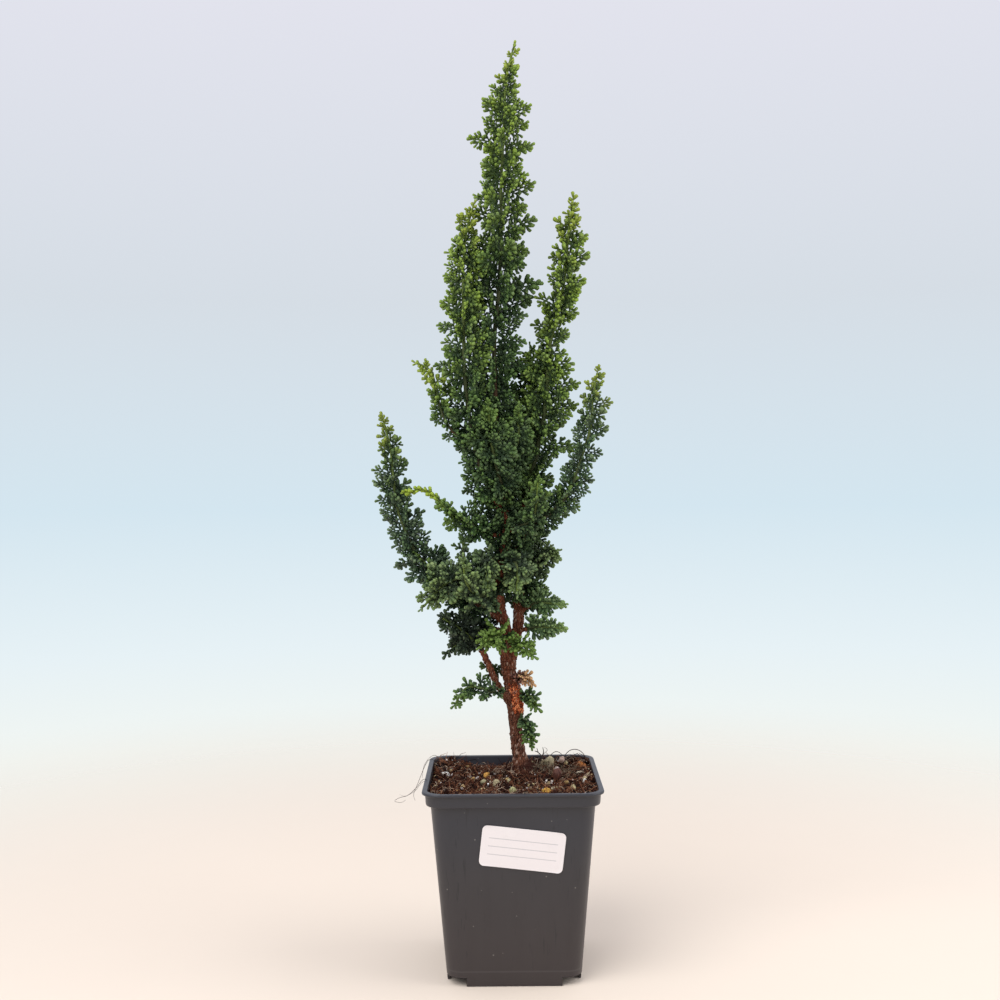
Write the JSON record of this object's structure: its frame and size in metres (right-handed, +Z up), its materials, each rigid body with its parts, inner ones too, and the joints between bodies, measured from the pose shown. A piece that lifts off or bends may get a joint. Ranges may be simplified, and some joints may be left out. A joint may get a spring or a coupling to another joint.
{
  "type": "potted hinoki cypress bonsai",
  "caption": "A young upright hinoki cypress bonsai with a bare red-brown trunk, growing in a square black plastic nursery pot with a blank white label.",
  "frame": {"origin": "On the surface that the pot stands on, at the centre of the flat round foot under its middle.", "axes": "+Z up along the tree, -Y the pot's labelled front, +X to the right as seen from the front."},
  "size_m": [0.1476, 0.11, 0.5815],
  "materials": {
    "pot": "satin",
    "label": "satin",
    "soil": "matte",
    "bark": "matte",
    "green_foliage": "matte",
    "light_foliage": "matte",
    "withered_foliage": "matte"
  },
  "bodies": {
    "root": {"pot": "pot", "label": "label", "soil": "soil", "trunk_and_branches": "bark", "leader_shoot": "green_foliage", "left_column_shoot": "green_foliage", "right_column_shoot": "green_foliage", "right_inner_shoot": "green_foliage", "far_right_shoot": "green_foliage", "far_left_shoot": "green_foliage", "front_column_shoot": "green_foliage", "back_column_shoot": "green_foliage", "leader_right_shoot": "green_foliage", "lime_shoot": "light_foliage", "back_right_shoot": "green_foliage", "back_left_shoot": "green_foliage", "front_left_shoot": "green_foliage", "front_right_shoot": "green_foliage", "left_front_shoot": "green_foliage", "right_middle_shoot": "green_foliage", "right_back_shoot": "green_foliage", "right_upper_shoot": "green_foliage", "right_lower_shoot": "green_foliage", "front_drooping_left_shoot": "green_foliage", "front_drooping_right_shoot": "green_foliage", "low_left_branch_shoot": "green_foliage", "left_drooping_shoot": "green_foliage", "low_front_left_shoot": "light_foliage", "low_front_right_shoot": "green_foliage", "low_left_twig_shoot": "green_foliage", "low_back_shoot": "green_foliage", "low_right_shoot": "green_foliage", "withered_shoot": "withered_foliage", "lowest_right_shoot": "green_foliage"}
  },
  "joints": []
}
